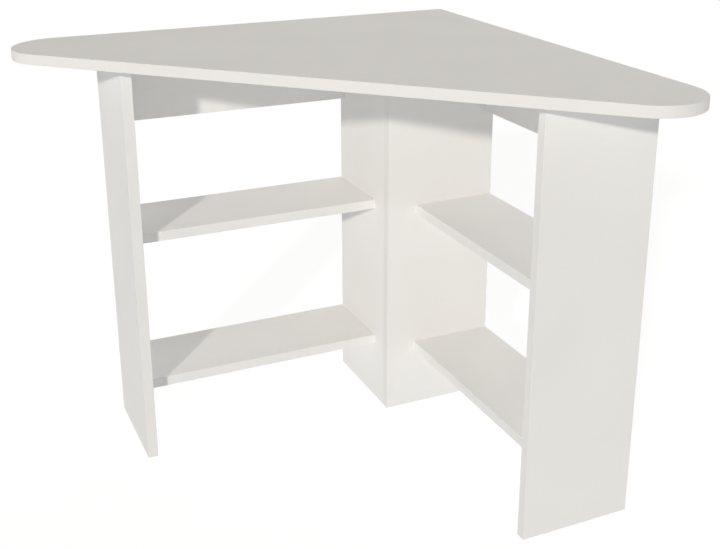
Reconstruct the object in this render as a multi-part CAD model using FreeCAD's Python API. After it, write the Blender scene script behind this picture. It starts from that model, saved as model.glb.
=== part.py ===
import FreeCAD, Part
import os

from FreeCAD import Vector

# A flat-pack corner desk in 18 mm faced chipboard, in millimetres, with +Z up.
# The origin is on the floor, under the middle of the worktop's bounding square. The room's corner
# is at (+SIDE/2, +SIDE/2): the left wing follows the back wall towards -X, and the right wing
# follows the side wall towards -Y. Three measures place everything in a wing: "along" its wall
# from the room's corner, "out" from that wall, and the height above the floor.

# Overall sizes
SIDE = 850.0                 # each wall edge of the worktop, tip included
HEIGHT = 750.0
BOARD = 18.0                 # thickness of every board

# Worktop
TIP_RADIUS = 80.0            # rounding of the two front tips
TIP_OVERHANG = 152.0         # from an end panel's outer face to the worktop's tip
WORKTOP_BAND = 2.0           # thickness of its edge band
WORKTOP_BAND_ROUNDING = 1.0  # of that band's top and bottom edges

# Uprights
END_PANEL_DEPTH = 203.0      # out from the wall, edge band included
COLUMN_SIDE = 221.0          # outer width of the corner column along each wall, edge band included

# Shelves and rails
SHELF_DEPTH = 162.0          # out from the wall, edge band included
UPPER_SHELF_TOP = 422.0
LOWER_SHELF_TOP = 136.0
RAIL_HEIGHT = 142.0          # of the rails under the worktop, edge band included
EDGE_BAND = 1.0              # thickness of the bands on panels, shelves and rails
BAND_ROUNDING = 0.5          # of those bands' long outer edges

# Cam connectors: a drum in one board grips the head of a bolt that is screwed into the other
CAM_RADIUS = 7.5             # of the drum's bore
CAM_SETBACK = 34.0           # from the joint to the drum's axis
CAM_SUNK = 0.4               # the drum's top lies this far under the board's face
CAM_FLOOR = 1.0              # from the bolt's head to the bottom of the drum's bore
CAM_WALL = 2.15              # round the pocket that holds the bolt's head
CAM_CROSS_LENGTH = 7.0       # screwdriver cross in the drum's top
CAM_CROSS_WIDTH = 1.4
CAM_CROSS_DEPTH = 2.4
CAM_PIN_RADIUS = 1.8         # round middle of that cross, which holds the cap's pin

BOLT_HEAD_RADIUS = 3.5
BOLT_HEAD_LENGTH = 4.0
BOLT_NECK_RADIUS = 2.3
BOLT_SHANK_RADIUS = 3.4
BOLT_COLLAR_LIP = 0.35       # the collar stands out this far past the head
BOLT_COLLAR_LENGTH = 1.6
THREAD_RADIUS = 3.1
THREAD_ROOT_RADIUS = 2.3
THREAD_TIP_RADIUS = 1.5
THREAD_LENGTH = 11.0
THREAD_RIDGES = 6

CAP_RIM = 1.2                # push-in covers lie this far past the bores that face the open bays
CAP_THICKNESS = 1.3
CAP_CHAMFER = 0.5
CAP_PIN_LENGTH = 1.8

# Dowels
DOWEL_RADIUS = 4.0
DOWEL_IN_EDGE = 23.0         # length in the board whose edge it enters
DOWEL_IN_FACE = 11.0         # length in the board whose face it enters
DOWEL_CHAMFER = 0.8

# Clearances between fittings and the holes they sit in
FIT = 0.15                   # on the radius
END_ROOM = 0.6               # past the end of a bolt, a drum or a dowel

# Where the fittings sit on a joint
SHELF_CAM_INSET = 32.0       # from the shelf's front and back edges
RAIL_CAM_INSET = 32.0        # from the rail's top and bottom edges
PANEL_CAM_INSET = 40.0       # from an upright's wall edge and front edge, on its top edge
RAIL_DOWEL_SHARES = (0.25, 0.75)   # of the rail's length, for the dowels in its top edge

# Derived places
HALF = SIDE / 2
UNDERSIDE = HEIGHT - BOARD                       # the worktop's underside
RAIL_BOTTOM = UNDERSIDE - RAIL_HEIGHT
END_PANEL_OUTER = SIDE - TIP_OVERHANG            # along
END_PANEL_INNER = END_PANEL_OUTER - BOARD        # along
COLUMN_INNER = COLUMN_SIDE - BOARD               # the hidden faces of the corner column
SHELF_TOPS = {"upper": UPPER_SHELF_TOP, "lower": LOWER_SHELF_TOP}
BOLT_COLLAR_RADIUS = BOLT_HEAD_RADIUS + BOLT_COLLAR_LIP
BOLT_BORE_RADIUS = BOLT_COLLAR_RADIUS + FIT       # in the edge of the board that holds the drum
DRUM_RADIUS = CAM_RADIUS - FIT
CAP_RADIUS = CAM_RADIUS + CAP_RIM
HEAD_START = CAM_SETBACK - BOLT_HEAD_LENGTH / 2
SHANK_END = CAM_SETBACK - CAM_RADIUS - END_ROOM
CAM_BORE_DEPTH = BOARD / 2 + BOLT_HEAD_RADIUS + CAM_FLOOR
SIDES = ("left", "right")
UP = Vector(0, 0, 1)

shapes = {}                  # node name to its solid, drilled as the joints are made
fittings = {}                # node name to the separate solids of one kind of fastener


def spot(side, along, out, height):
    """The point in the desk's frame that a wing's three measures give."""
    if side == "left":
        return Vector(HALF - along, HALF - out, height)
    return Vector(HALF - out, HALF - along, height)


def heading(side, along, out):
    """The level direction that a wing's measures give."""
    return spot(side, along, out, 0) - spot(side, 0, 0, 0)


def block(side, along, out, heights):
    """A box between two values of each of a wing's three measures."""
    first = spot(side, along[0], out[0], heights[0])
    second = spot(side, along[1], out[1], heights[1])
    low = Vector(min(first.x, second.x), min(first.y, second.y), heights[0])
    size = second - first
    return Part.makeBox(abs(size.x), abs(size.y), size.z, low)


def rounded_band(band, board, radius):
    """A board's edge band, with its long edges rounded where they lie away from the board."""
    long_edges = [edge for edge in band.Edges if edge.Length > 2 * BOARD]
    outer_edges = [edge for edge in long_edges if edge.distToShape(board)[0] > 0]
    return band.makeFillet(radius, outer_edges)


# ---------------------------------------------------------------- worktop

def worktop_outline(inset):
    """The worktop's outline, with its front edge and rounded tips drawn in by inset."""
    radius = TIP_RADIUS - inset
    front = Vector(-1, -1, 0).normalize()
    corner = Vector(HALF, HALF, 0)
    points = {}
    for side in SIDES:
        middle = spot(side, SIDE - TIP_RADIUS, TIP_RADIUS, 0)
        to_wall = heading(side, 0, -1)
        to_tip = heading(side, 1, 0)
        points[side] = {
            "wall": middle + to_wall * TIP_RADIUS,
            "start": middle + to_wall * radius,
            "tip": middle + to_tip * radius,
            "end": middle + front * radius,
        }
    left = points["left"]
    right = points["right"]
    edges = [Part.makeLine(corner, left["wall"])]
    if inset:
        edges.append(Part.makeLine(left["wall"], left["start"]))
    edges.append(Part.Arc(left["start"], left["tip"], left["end"]).toShape())
    edges.append(Part.makeLine(left["end"], right["end"]))
    edges.append(Part.Arc(right["end"], right["tip"], right["start"]).toShape())
    if inset:
        edges.append(Part.makeLine(right["start"], right["wall"]))
    edges.append(Part.makeLine(right["wall"], corner))
    return Part.Wire(edges)


def make_worktop():
    """The triangular worktop and the band round its front edge and tips."""
    core, whole = (Part.Face(worktop_outline(inset)).extrude(UP * BOARD) for inset in (WORKTOP_BAND, 0.0))
    core.translate(UP * UNDERSIDE)
    whole.translate(UP * UNDERSIDE)
    shapes["worktop"] = core
    shapes["worktop_edge_band"] = rounded_band(whole.cut(core), core, WORKTOP_BAND_ROUNDING)


# ---------------------------------------------------------------- uprights, shelves and rails

def add_banded_board(name, board, band):
    shapes[name] = board
    shapes[name + "_edge_band"] = rounded_band(band, board, BAND_ROUNDING)


def make_end_panel(side):
    """The upright at the end of a wing, with a band on its front edge."""
    along = (END_PANEL_INNER, END_PANEL_OUTER)
    board_depth = END_PANEL_DEPTH - EDGE_BAND
    board = block(side, along, (0, board_depth), (0, UNDERSIDE))
    band = block(side, along, (board_depth, END_PANEL_DEPTH), (0, UNDERSIDE))
    add_banded_board(side + "_end_panel", board, band)


def make_column():
    """The corner column: the right panel laps the left panel's front edge and shows its own band."""
    across = (COLUMN_INNER, COLUMN_SIDE)
    board_width = COLUMN_SIDE - EDGE_BAND
    right_panel = block("right", across, (0, board_width), (0, UNDERSIDE))
    band = block("right", across, (board_width, COLUMN_SIDE), (0, UNDERSIDE))
    shapes["column_left_panel"] = block("left", across, (0, COLUMN_INNER), (0, UNDERSIDE))
    shapes["column_right_panel"] = right_panel
    shapes["column_edge_band"] = rounded_band(band, right_panel, BAND_ROUNDING)


def make_shelf(side, level):
    """A shelf between the column and the end panel, with a band on its front edge."""
    along = (COLUMN_SIDE, END_PANEL_INNER)
    board_depth = SHELF_DEPTH - EDGE_BAND
    heights = (SHELF_TOPS[level] - BOARD, SHELF_TOPS[level])
    board = block(side, along, (0, board_depth), heights)
    band = block(side, along, (board_depth, SHELF_DEPTH), heights)
    add_banded_board(f"{side}_{level}_shelf", board, band)


def make_rail(side):
    """The upright rail at the wall, under the worktop, with a band on its lower edge."""
    along = (COLUMN_SIDE, END_PANEL_INNER)
    board_bottom = RAIL_BOTTOM + EDGE_BAND
    board = block(side, along, (0, BOARD), (board_bottom, UNDERSIDE))
    band = block(side, along, (0, BOARD), (RAIL_BOTTOM, board_bottom))
    add_banded_board(side + "_rail", board, band)


# ---------------------------------------------------------------- fittings, each about its own origin

def rod(radius, start, end, axis=Vector(1, 0, 0)):
    """A cylinder along axis between two distances from the origin."""
    return Part.makeCylinder(radius, end - start, axis * start, axis)


def round_edges(cylinder):
    return [edge for edge in cylinder.Edges if len(edge.Vertexes) == 1]


def make_cam_drum():
    """A drum whose axis is Z, with its board's face at height 0. The bolt comes in from +X."""
    bottom = END_ROOM - CAM_BORE_DEPTH
    pocket_top = BOLT_HEAD_RADIUS + END_ROOM - BOARD / 2
    slot_half = BOLT_NECK_RADIUS + END_ROOM
    drum = rod(DRUM_RADIUS, bottom, -CAM_SUNK, UP)
    pocket = rod(DRUM_RADIUS - CAM_WALL, bottom, pocket_top, UP)
    slot = Part.makeBox(CAM_RADIUS, 2 * slot_half, pocket_top - bottom, Vector(0, -slot_half, bottom))
    cross_low = -CAM_SUNK - CAM_CROSS_DEPTH
    cuts = [pocket, slot, rod(CAM_PIN_RADIUS, cross_low, 0, UP)]
    for x, y in ((CAM_CROSS_LENGTH, CAM_CROSS_WIDTH), (CAM_CROSS_WIDTH, CAM_CROSS_LENGTH)):
        cuts.append(Part.makeBox(x, y, -cross_low, Vector(-x / 2, -y / 2, cross_low)))
    return drum.cut(cuts)


def make_cam_bolt():
    """A bolt along X: its thread lies at -X, in the other board's face, and its head at +X, in the drum."""
    pitch = (THREAD_LENGTH - END_ROOM) / THREAD_RIDGES
    outline = [(-THREAD_LENGTH, 0), (-THREAD_LENGTH, THREAD_TIP_RADIUS)]
    for ridge in range(THREAD_RIDGES):
        foot = -THREAD_LENGTH + END_ROOM + ridge * pitch
        outline.append((foot, THREAD_ROOT_RADIUS))
        outline.append((foot + pitch / 2, THREAD_RADIUS))
    outline += [
        (0, THREAD_ROOT_RADIUS),
        (0, BOLT_COLLAR_RADIUS),
        (BOLT_COLLAR_LENGTH, BOLT_COLLAR_RADIUS),
        (BOLT_COLLAR_LENGTH, BOLT_SHANK_RADIUS),
        (SHANK_END, BOLT_SHANK_RADIUS),
        (SHANK_END, BOLT_NECK_RADIUS),
        (HEAD_START, BOLT_NECK_RADIUS),
        (HEAD_START + BOLT_HEAD_LENGTH / 4, BOLT_HEAD_RADIUS),
        (HEAD_START + BOLT_HEAD_LENGTH * 3 / 4, BOLT_HEAD_RADIUS),
        (HEAD_START + BOLT_HEAD_LENGTH, BOLT_NECK_RADIUS),
        (HEAD_START + BOLT_HEAD_LENGTH, 0),
    ]
    corners = [Vector(x, radius, 0) for x, radius in outline]
    profile = Part.Face(Part.makePolygon(corners + corners[:1]))
    return profile.revolve(Vector(0, 0, 0), Vector(1, 0, 0), 360)


def make_cap():
    """A round cover on a board's face at height 0, with a pin down into the drum's cross."""
    disc = Part.makeCylinder(CAP_RADIUS, CAP_THICKNESS)
    rim = [edge for edge in round_edges(disc) if edge.CenterOfMass.z > CAP_THICKNESS / 2]
    pin = rod(CAM_PIN_RADIUS - FIT, -CAM_SUNK - CAP_PIN_LENGTH, 0, UP)
    return disc.makeChamfer(CAP_CHAMFER, rim).fuse(pin).removeSplitter()


def make_dowel():
    """A chamfered dowel along X, with its longer part at +X."""
    peg = rod(DOWEL_RADIUS, -DOWEL_IN_FACE, DOWEL_IN_EDGE)
    return peg.makeChamfer(DOWEL_CHAMFER, round_edges(peg))


# ---------------------------------------------------------------- joints

def placed(shape, origin, x_axis, z_axis):
    """A copy of a fitting, moved from its own origin to a joint."""
    turned = shape.copy()
    rotation = FreeCAD.Rotation(x_axis, z_axis.cross(x_axis), z_axis, "ZXY")
    turned.Placement = FreeCAD.Placement(origin, rotation)
    return turned


def drill(name, tool, origin, x_axis, z_axis):
    """Cuts a hole in a board."""
    shapes[name] = shapes[name].cut(placed(tool, origin, x_axis, z_axis))


def fit_cam(group, edge_board, face_board, joint, inward, cam_side, capped):
    """One cam connector. joint is where the middle of edge_board's thickness meets face_board's face.
    inward points into edge_board, and cam_side to the face that its drum is sunk in."""
    drum_centre = joint + inward * CAM_SETBACK + cam_side * (BOARD / 2)
    drill(edge_board, rod(CAM_RADIUS, -CAM_BORE_DEPTH, 0, UP), drum_centre, -inward, cam_side)
    drill(edge_board, rod(BOLT_BORE_RADIUS, 0, CAM_SETBACK), joint, inward, cam_side)
    drill(face_board, rod(THREAD_RADIUS + FIT, -THREAD_LENGTH - END_ROOM, 0), joint, inward, cam_side)
    add_fitting(group + "_cams", placed(cam_drum, drum_centre, -inward, cam_side))
    add_fitting(group + "_cam_bolts", placed(cam_bolt, joint, inward, cam_side))
    if capped:
        add_fitting(group + "_cam_caps", placed(cap, drum_centre, -inward, cam_side))


def fit_dowel(group, edge_board, face_board, joint, inward, across):
    """One dowel, from face_board's face into edge_board's edge."""
    bore_radius = DOWEL_RADIUS + FIT
    drill(edge_board, rod(bore_radius, 0, DOWEL_IN_EDGE + END_ROOM), joint, inward, across)
    drill(face_board, rod(bore_radius, -DOWEL_IN_FACE - END_ROOM, 0), joint, inward, across)
    add_fitting(group + "_dowels", placed(dowel, joint, inward, across))


def add_fitting(name, solid):
    fittings.setdefault(name, []).append(solid)


def column_panel(side):
    return f"column_{side}_panel"


def fit_shelf(side, level):
    """Two cams under each end of a shelf, and a dowel between them."""
    shelf = f"{side}_{level}_shelf"
    height = SHELF_TOPS[level] - BOARD / 2
    ends = ((column_panel(side), COLUMN_SIDE, 1), (side + "_end_panel", END_PANEL_INNER, -1))
    for upright, along, turn in ends:
        inward = heading(side, turn, 0)
        for out in (SHELF_CAM_INSET, SHELF_DEPTH - SHELF_CAM_INSET):
            fit_cam(side + "_shelf", shelf, upright, spot(side, along, out, height), inward, -UP, True)
        fit_dowel(side + "_shelf", shelf, upright, spot(side, along, SHELF_DEPTH / 2, height), inward, UP)


def fit_rail(side):
    """Cams at a rail's ends and top, sunk in its wall face, with dowels between them."""
    rail = side + "_rail"
    group = side + "_rail"
    to_wall = heading(side, 0, -1)
    middle = BOARD / 2
    ends = ((column_panel(side), COLUMN_SIDE, 1), (side + "_end_panel", END_PANEL_INNER, -1))
    for upright, along, turn in ends:
        inward = heading(side, turn, 0)
        for height in (RAIL_BOTTOM + RAIL_CAM_INSET, UNDERSIDE - RAIL_CAM_INSET):
            fit_cam(group, rail, upright, spot(side, along, middle, height), inward, to_wall, False)
        halfway = spot(side, along, middle, (RAIL_BOTTOM + UNDERSIDE) / 2)
        fit_dowel(group, rail, upright, halfway, inward, to_wall)
    length = END_PANEL_INNER - COLUMN_SIDE
    centre = spot(side, COLUMN_SIDE + length / 2, middle, UNDERSIDE)
    fit_cam(group, rail, "worktop", centre, -UP, to_wall, False)
    for share in RAIL_DOWEL_SHARES:
        top = spot(side, COLUMN_SIDE + length * share, middle, UNDERSIDE)
        fit_dowel(group, rail, "worktop", top, -UP, to_wall)


def fit_upright_top(group, side, upright, along, width, cam_side, capped):
    """Two cams in an upright's top edge, under the worktop, and a dowel between them."""
    for out in (PANEL_CAM_INSET, width - PANEL_CAM_INSET):
        fit_cam(group, upright, "worktop", spot(side, along, out, UNDERSIDE), -UP, cam_side, capped)
    fit_dowel(group, upright, "worktop", spot(side, along, width / 2, UNDERSIDE), -UP, cam_side)


def fit_end_panel(side):
    """The drums are sunk in the face that looks into the wing."""
    middle = END_PANEL_INNER + BOARD / 2
    group = side + "_end_panel"
    fit_upright_top(group, side, group, middle, END_PANEL_DEPTH, heading(side, -1, 0), True)


def fit_column():
    """The drums are sunk in the faces inside the column, which the room's walls hide."""
    middle = COLUMN_INNER + BOARD / 2
    for side in SIDES:
        inside = heading(side, -1, 0)
        fit_upright_top("column", side, column_panel(side), middle, COLUMN_INNER, inside, False)
    fit_column_seam(middle)


def fit_column_seam(middle):
    """A cam in each bay's middle joins the column's two panels, and a dowel at each shelf's height."""
    inward = heading("left", 0, -1)
    inside = heading("left", -1, 0)
    shelf_middles = [top - BOARD / 2 for top in (LOWER_SHELF_TOP, UPPER_SHELF_TOP)]
    levels = [0, *shelf_middles, UNDERSIDE]
    for low, high in zip(levels, levels[1:]):
        seam = spot("left", middle, COLUMN_INNER, (low + high) / 2)
        fit_cam("column", column_panel("left"), column_panel("right"), seam, inward, inside, False)
    for height in shelf_middles:
        seam = spot("left", middle, COLUMN_INNER, height)
        fit_dowel("column", column_panel("left"), column_panel("right"), seam, inward, inside)


# ---------------------------------------------------------------- the whole desk

make_worktop()
make_column()
for wing in SIDES:
    make_end_panel(wing)
    make_rail(wing)
    for shelf_level in SHELF_TOPS:
        make_shelf(wing, shelf_level)

cam_drum = make_cam_drum()
cam_bolt = make_cam_bolt()
cap = make_cap()
dowel = make_dowel()

fit_column()
for wing in SIDES:
    fit_end_panel(wing)
    fit_rail(wing)
    for shelf_level in SHELF_TOPS:
        fit_shelf(wing, shelf_level)

for name, solids in fittings.items():
    shapes[name] = Part.makeCompound(solids)

os.makedirs("parts", exist_ok=True)
for name, shape in shapes.items():
    shape.exportStep(f"parts/{name}.step")
    print(f"{name}: {len(shape.Solids)} solids, {shape.Volume / 1000:.1f} cm3, valid {shape.isValid()}")
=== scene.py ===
import math

import bpy
from mathutils import Euler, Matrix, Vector


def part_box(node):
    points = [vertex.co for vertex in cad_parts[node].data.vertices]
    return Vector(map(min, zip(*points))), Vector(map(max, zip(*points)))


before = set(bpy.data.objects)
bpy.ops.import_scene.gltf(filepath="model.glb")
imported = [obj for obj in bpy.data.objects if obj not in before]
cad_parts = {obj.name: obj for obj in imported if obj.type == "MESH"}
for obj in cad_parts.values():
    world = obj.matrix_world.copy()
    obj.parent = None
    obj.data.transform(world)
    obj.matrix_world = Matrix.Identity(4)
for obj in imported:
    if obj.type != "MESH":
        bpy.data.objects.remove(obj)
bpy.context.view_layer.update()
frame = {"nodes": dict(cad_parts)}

NODES = frame["nodes"]
MM = 0.001

# Camera, in the desk's frame
CAMERA_AT = Vector((-0.6318, -1.5327, 1.1002))
CAMERA_TURN = (71.168, 0.024, -24.555)      # degrees about X, Y and Z
CAMERA_SENSOR = 36.0
CAMERA_LENS = 54.49
CAMERA_SHIFT = (-0.0102, -0.1058)

# Light: a low warm key from the front left, and an even sky with a soft glow low behind the desk
KEY_FROM = Vector((-0.619, -0.703, 0.352))
KEY_ANGLE = 2.8                             # degrees across, which sets how soft its shadows are
KEY_STRENGTH = 1.54
KEY_COLOUR = (1.0, 0.955, 0.885)
SKY_COLOUR = (1.0, 0.985, 0.955)
SKY_LEVEL = 0.28
GLOW_FROM = Vector((0.707, 0.707, 0.325))
GLOW_STRENGTH = 0.96
GLOW_FALL = 3.0                             # power of the cosine, so that it fades to nothing at its side

# Floor: it lights the desk evenly from below, and shows the camera only a faint shadow
FLOOR_SIZE = 30.0
FLOOR_GLOW = 0.70
FLOOR_COLOUR = (0.985, 0.992, 1.0)
FLOOR_SHADE = 0.25
FLOOR_WHITE = 0.86

# Colours
PURE_WHITE = (1.0, 1.0, 1.0)
WHITE = (0.922, 0.914, 0.900)
BAND_WHITE = (0.905, 0.897, 0.884)
COLUMN_BAND_SHADED_WHITE = (0.876, 0.868, 0.856)   # painted shade: a darker strip that copies a fine line of shade at the column's corner
CAP_WHITE = (0.90, 0.895, 0.885)
ZINC = (0.55, 0.55, 0.56)
PLATING = (0.66, 0.64, 0.58)
BEECH = (0.62, 0.42, 0.25)
CHIPS = (                                   # from the darkest chip, at 0, to the palest, at 1
    (0.0, (0.29, 0.18, 0.09)),
    (0.35, (0.43, 0.29, 0.155)),
    (0.7, (0.55, 0.40, 0.235)),
    (1.0, (0.66, 0.52, 0.34)),
)

# Board: white paper on chipboard. Scales are in cycles per metre, and a tone multiplies the colour
PAPER_DEPTH = 0.3 * MM
PAPER_FADE = 0.06 * MM                      # over which the paper gives way to the chips
MOTTLE_SCALE = 5.0
MOTTLE_TONE = (0.985, 1.012)
PRINT_SCALE = 260.0
PRINT_TONE = (0.988, 1.010)
SMUDGE_SCALE = 9.0
SMUDGE_ROUGHNESS = (0.50, 0.57)
PEARL_SCALE = 620.0
PEARL_BUMP = (0.25, 0.08 * MM)              # strength, depth
PAPER_GLOSS = 0.25
CHIP_SCALE = 170.0                          # along the board
CHIP_LAYERS = 800.0                         # through its thickness
CHIP_ROUGHNESS = 0.9
FIBRE_SCALE = 2.6                           # cycles in one chip
FIBRE_TONE = (0.74, 1.22)
PIT_BUMP = (0.7, 0.3 * MM)

# Bands and caps
BAND_ROUGHNESS = 0.42
BAND_PEEL_SCALE = 500.0
CAP_ROUGHNESS = 0.38
CAP_PEEL_SCALE = 900.0
PEEL_BUMP = (0.15, 0.05 * MM)
PLASTIC_MOTTLE_SCALE = 7.0
PLASTIC_SMUDGE_SCALE = 14.0
PLASTIC_SMUDGE = (-0.04, 0.05)              # added to the roughness
PLASTIC_GLOSS = 0.3

# Metal and wood fittings
METAL_SCALE = 300.0
METAL_CLOUD = (0.88, 1.06)
METAL_SMUDGE = (-0.08, 0.1)                 # added to the roughness
ZINC_ROUGHNESS = 0.42
PLATING_ROUGHNESS = 0.30
DENT_BUMP = (0.3, 0.05 * MM)
BEECH_SCALE = 500.0
BEECH_ROUGHNESS = 0.6
BEECH_GRAIN = (0.35, 0.75)                  # the grain's values between pale wood and full flecks
BEECH_FLECK = (1.05, 0.82)                  # the tones of those two
BEECH_BUMP = (0.4, 0.1 * MM)

# Wear on edges
BOARD_EDGE = 0.3 * MM
BAND_EDGE = 0.15 * MM
EDGE_SEGMENTS = 2
SHARP = math.radians(50)
WELD_DISTANCE = 0.005 * MM

NOISE_MIDDLE = (0.3, 0.7)                   # where nearly all of a noise's values lie
MIX_SOCKETS = {"FLOAT": (2, 3, 0), "VECTOR": (4, 5, 1), "RGBA": (6, 7, 2)}      # first, second, result


# ---------------------------------------------------------------- shader graphs

def new_material(name):
    """A material with its node tree emptied down to one Principled shader."""
    material = bpy.data.materials.new(name)
    material.use_nodes = True
    tree = material.node_tree
    tree.nodes.clear()
    shader = tree.nodes.new("ShaderNodeBsdfPrincipled")
    output = tree.nodes.new("ShaderNodeOutputMaterial")
    tree.links.new(shader.outputs[0], output.inputs[0])
    return material, tree, shader


def feed(tree, socket, value):
    """Links an output to a socket, or sets the socket to a plain value."""
    if isinstance(value, bpy.types.NodeSocket):
        tree.links.new(value, socket)
    elif socket.type == "RGBA":
        socket.default_value = (*value, 1.0)
    else:
        socket.default_value = value


def add(tree, kind, inputs=None, output=0, **settings):
    """Adds a node, feeds its inputs and returns one of its outputs."""
    node = tree.nodes.new("ShaderNode" + kind)
    for key, value in settings.items():
        setattr(node, key, value)
    for key, value in (inputs or {}).items():
        feed(tree, node.inputs[key], value)
    return node.outputs[output]


def object_point(tree):
    return add(tree, "TexCoord", output="Object")


def noise(tree, point, scale, detail=2.0, roughness=0.5):
    inputs = {"Vector": point, "Scale": scale, "Detail": detail, "Roughness": roughness}
    return add(tree, "TexNoise", inputs, output="Fac")


def remap(tree, value, low, high, to_low, to_high):
    inputs = {"Value": value, "From Min": low, "From Max": high, "To Min": to_low, "To Max": to_high}
    return add(tree, "MapRange", inputs, output="Result")


def spread(tree, cloud, span):
    """Stretches a noise so that its middle runs over a span, and cuts off the rest."""
    return remap(tree, cloud, *NOISE_MIDDLE, *span)


def maths(tree, operation, first, second=0.0):
    return add(tree, "Math", {0: first, 1: second}, operation=operation)


def mix(tree, kind, factor, first, second):
    """Mixes two values of one kind. The Mix node has sockets of its own for each kind."""
    first_socket, second_socket, result = MIX_SOCKETS[kind]
    inputs = {"Factor": factor, first_socket: first, second_socket: second}
    return add(tree, "Mix", inputs, output=result, data_type=kind)


def tint(tree, colour, factor):
    """A colour made darker or lighter by a factor near 1."""
    return add(tree, "VectorMath", {0: colour, "Scale": factor}, operation="SCALE")


def bump(tree, height, strength, distance):
    return add(tree, "Bump", {"Height": height, "Strength": strength, "Distance": distance})


# ---------------------------------------------------------------- materials

def melamine_colour(tree, point):
    """Off-white paper with a faint mottle at hand size and a finer one at the size of its print."""
    broad = spread(tree, noise(tree, point, MOTTLE_SCALE), MOTTLE_TONE)
    fine = spread(tree, noise(tree, point, PRINT_SCALE, detail=3.0), PRINT_TONE)
    return tint(tree, WHITE, maths(tree, "MULTIPLY", broad, fine))


def chipboard(tree, point, axis):
    """The colour and height of flat wood chips that lie along a board, square to its thin axis."""
    stretch = [CHIP_SCALE] * 3
    stretch[axis] = CHIP_LAYERS
    laid = add(tree, "Mapping", {"Vector": point, "Scale": stretch})
    fibre = spread(tree, noise(tree, laid, FIBRE_SCALE, detail=4.0, roughness=0.65), FIBRE_TONE)
    chips = tree.nodes.new("ShaderNodeTexVoronoi")
    feed(tree, chips.inputs["Vector"], laid)
    chips.inputs["Scale"].default_value = 1.0
    ramp = tree.nodes.new("ShaderNodeValToRGB")
    feed(tree, ramp.inputs[0], add(tree, "SeparateColor", {0: chips.outputs["Color"]}))
    for place, _ in CHIPS[1:-1]:
        ramp.color_ramp.elements.new(place)
    for element, (place, colour) in zip(ramp.color_ramp.elements, CHIPS):
        element.position = place
        element.color = (*colour, 1.0)
    height = maths(tree, "SUBTRACT", fibre, chips.outputs["Distance"])
    return tint(tree, ramp.outputs[0], fibre), height


def melamine_board(name, axis, middle, half):
    """Chipboard whose two faces, half a thickness from middle along axis, are white paper."""
    material, tree, shader = new_material(name)
    point = object_point(tree)
    place = add(tree, "SeparateXYZ", {0: point}, output="XYZ"[axis])
    depth = maths(tree, "ABSOLUTE", maths(tree, "SUBTRACT", place, middle))
    paper_starts = half - PAPER_DEPTH
    is_paper = remap(tree, depth, paper_starts - PAPER_FADE, paper_starts, 0.0, 1.0)
    chip_colour, chip_height = chipboard(tree, point, axis)
    colour = mix(tree, "RGBA", is_paper, chip_colour, melamine_colour(tree, point))
    smudge = spread(tree, noise(tree, point, SMUDGE_SCALE, detail=4.0), SMUDGE_ROUGHNESS)
    roughness = mix(tree, "FLOAT", is_paper, CHIP_ROUGHNESS, smudge)
    pits = bump(tree, chip_height, *PIT_BUMP)
    pearl = bump(tree, noise(tree, point, PEARL_SCALE), *PEARL_BUMP)
    normal = mix(tree, "VECTOR", is_paper, pits, pearl)
    feed(tree, shader.inputs["Base Color"], colour)
    feed(tree, shader.inputs["Roughness"], roughness)
    feed(tree, shader.inputs["Normal"], normal)
    shader.inputs["Specular IOR Level"].default_value = PAPER_GLOSS
    return material


def plastic(name, colour, roughness, peel_scale):
    """Satin moulded or extruded plastic with a faint orange peel."""
    material, tree, shader = new_material(name)
    point = object_point(tree)
    mottle = spread(tree, noise(tree, point, PLASTIC_MOTTLE_SCALE), MOTTLE_TONE)
    span = [roughness + change for change in PLASTIC_SMUDGE]
    smudge = spread(tree, noise(tree, point, PLASTIC_SMUDGE_SCALE, detail=3.0), span)
    feed(tree, shader.inputs["Base Color"], tint(tree, colour, mottle))
    feed(tree, shader.inputs["Roughness"], smudge)
    feed(tree, shader.inputs["Normal"], bump(tree, noise(tree, point, peel_scale), *PEEL_BUMP))
    shader.inputs["Specular IOR Level"].default_value = PLASTIC_GLOSS
    return material


def metal(name, colour, roughness):
    """Die-cast or plated metal with a cloudy tone and small dents."""
    material, tree, shader = new_material(name)
    point = object_point(tree)
    cloud = spread(tree, noise(tree, point, METAL_SCALE, detail=3.0), METAL_CLOUD)
    span = [roughness + change for change in METAL_SMUDGE]
    smudge = spread(tree, noise(tree, point, 2 * METAL_SCALE, detail=3.0), span)
    feed(tree, shader.inputs["Base Color"], tint(tree, colour, cloud))
    feed(tree, shader.inputs["Roughness"], smudge)
    feed(tree, shader.inputs["Normal"], bump(tree, noise(tree, point, 3 * METAL_SCALE), *DENT_BUMP))
    shader.inputs["Metallic"].default_value = 1.0
    return material


def beech(name):
    """Pale pinkish wood with short dark flecks."""
    material, tree, shader = new_material(name)
    grain = noise(tree, object_point(tree), BEECH_SCALE, detail=4.0, roughness=0.65)
    fleck = remap(tree, grain, *BEECH_GRAIN, *BEECH_FLECK)
    feed(tree, shader.inputs["Base Color"], tint(tree, BEECH, fleck))
    feed(tree, shader.inputs["Normal"], bump(tree, grain, *BEECH_BUMP))
    shader.inputs["Roughness"].default_value = BEECH_ROUGHNESS
    return material


# ---------------------------------------------------------------- finishing the parts

def dress(name, material):
    """Gives a CAD node its material in every slot."""
    data = NODES[name].data
    if not data.materials:
        data.materials.append(material)
    for index in range(len(data.materials)):
        data.materials[index] = material


def soften(name, width):
    """Welds a CAD node's split corners and rounds its sharp edges a little."""
    node = NODES[name]
    weld = node.modifiers.new("weld", "WELD")
    weld.merge_threshold = WELD_DISTANCE
    bevel = node.modifiers.new("round", "BEVEL")
    bevel.width = width
    bevel.segments = EDGE_SEGMENTS
    bevel.limit_method = "ANGLE"
    bevel.angle_limit = SHARP
    bevel.harden_normals = True
    bevel.use_clamp_overlap = True


def is_board(name):
    return name.endswith(("worktop", "_panel", "_rail", "_shelf"))


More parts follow.
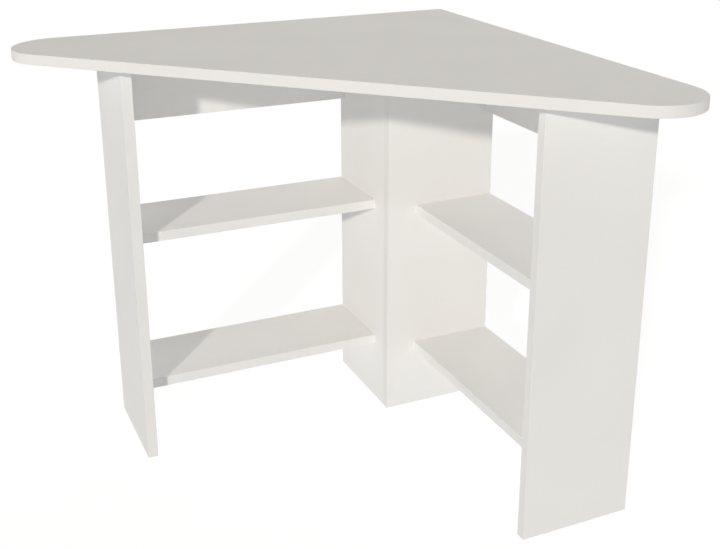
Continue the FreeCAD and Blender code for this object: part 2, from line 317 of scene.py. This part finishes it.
def finish_boards():
    for name in sorted(filter(is_board, NODES)):
        low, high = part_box(name)
        size = high - low
        axis = min(range(3), key=lambda k: size[k])
        middle = (low[axis] + high[axis]) / 2
        dress(name, melamine_board(name + "_finish", axis, middle, size[axis] / 2))
        soften(name, BOARD_EDGE)


def finish_small_parts():
    finishes = {
        "_edge_band": plastic("edge_band_finish", BAND_WHITE, BAND_ROUGHNESS, BAND_PEEL_SCALE),
        "_cam_caps": plastic("cap_finish", CAP_WHITE, CAP_ROUGHNESS, CAP_PEEL_SCALE),
        "_cams": metal("zinc_finish", ZINC, ZINC_ROUGHNESS),
        "_cam_bolts": metal("plated_finish", PLATING, PLATING_ROUGHNESS),
        "_dowels": beech("beech_finish"),
    }
    for name in NODES:
        for ending, material in finishes.items():
            if name.endswith(ending):
                dress(name, material)
        if name.endswith("_edge_band"):
            soften(name, BAND_EDGE)
    # painted shade: the column's edge band gets a darker copy of the band finish, which paints a fine
    # line of shade at the column's corner
    painted_shade_band = plastic("column_band_painted_shade", COLUMN_BAND_SHADED_WHITE, BAND_ROUGHNESS, BAND_PEEL_SCALE)
    dress("column_edge_band", painted_shade_band)


# ---------------------------------------------------------------- stage

def make_camera():
    data = bpy.data.cameras.new("camera")
    data.sensor_width = CAMERA_SENSOR
    data.lens = CAMERA_LENS
    data.shift_x, data.shift_y = CAMERA_SHIFT
    camera = bpy.data.objects.new("camera", data)
    camera.location = CAMERA_AT
    camera.rotation_euler = Euler([math.radians(a) for a in CAMERA_TURN], "XYZ")
    bpy.context.scene.collection.objects.link(camera)
    bpy.context.scene.camera = camera


def make_key():
    data = bpy.data.lights.new("key", "SUN")
    data.energy = KEY_STRENGTH
    data.angle = math.radians(KEY_ANGLE)
    data.color = KEY_COLOUR
    key = bpy.data.objects.new("key", data)
    key.rotation_mode = "QUATERNION"
    key.rotation_quaternion = KEY_FROM.to_track_quat("Z", "Y")
    bpy.context.scene.collection.objects.link(key)


def sky_glow(tree):
    """Light that is strongest from one direction and fades to nothing at right angles to it."""
    point = add(tree, "TexCoord", output="Generated")
    aim = {0: point, 1: GLOW_FROM.normalized()}
    cosine = add(tree, "VectorMath", aim, output="Value", operation="DOT_PRODUCT")
    falling = maths(tree, "POWER", maths(tree, "MAXIMUM", cosine, 0.0), GLOW_FALL)
    return maths(tree, "MULTIPLY", falling, GLOW_STRENGTH)


def seen_or_lighting(tree, seen, lighting, output):
    """One shader where the camera looks, and another for the light that reaches the desk."""
    direct = add(tree, "LightPath", output="Is Camera Ray")
    both = add(tree, "MixShader", {0: direct, 1: lighting, 2: seen})
    tree.links.new(both, output.inputs[0])


def make_sky():
    """A soft sky, which the camera sees as plain white."""
    world = bpy.data.worlds.new("sky")
    world.use_nodes = True
    bpy.context.scene.world = world
    tree = world.node_tree
    tree.nodes.clear()
    level = maths(tree, "ADD", sky_glow(tree), SKY_LEVEL)
    light = add(tree, "Background", {0: SKY_COLOUR, "Strength": level})
    seen = add(tree, "Background", {0: PURE_WHITE, "Strength": 1.0})
    seen_or_lighting(tree, seen, light, tree.nodes.new("ShaderNodeOutputWorld"))


def make_floor():
    """A plain pale floor."""
    bpy.ops.mesh.primitive_plane_add(size=FLOOR_SIZE, location=(0, 0, 0))
    floor = bpy.context.object
    floor.name = "floor"
    material = bpy.data.materials.new("floor_finish")
    material.use_nodes = True
    tree = material.node_tree
    tree.nodes.clear()
    shade = add(tree, "BsdfDiffuse", {"Color": (FLOOR_SHADE,) * 3})
    white = add(tree, "Emission", {"Color": PURE_WHITE, "Strength": FLOOR_WHITE})
    seen = add(tree, "AddShader", {0: shade, 1: white})
    glow = add(tree, "Emission", {"Color": FLOOR_COLOUR, "Strength": FLOOR_GLOW})
    seen_or_lighting(tree, seen, glow, tree.nodes.new("ShaderNodeOutputMaterial"))
    floor.data.materials.append(material)


bpy.context.scene.view_settings.view_transform = "Standard"
make_camera()
make_key()
make_sky()
make_floor()
finish_boards()
finish_small_parts()
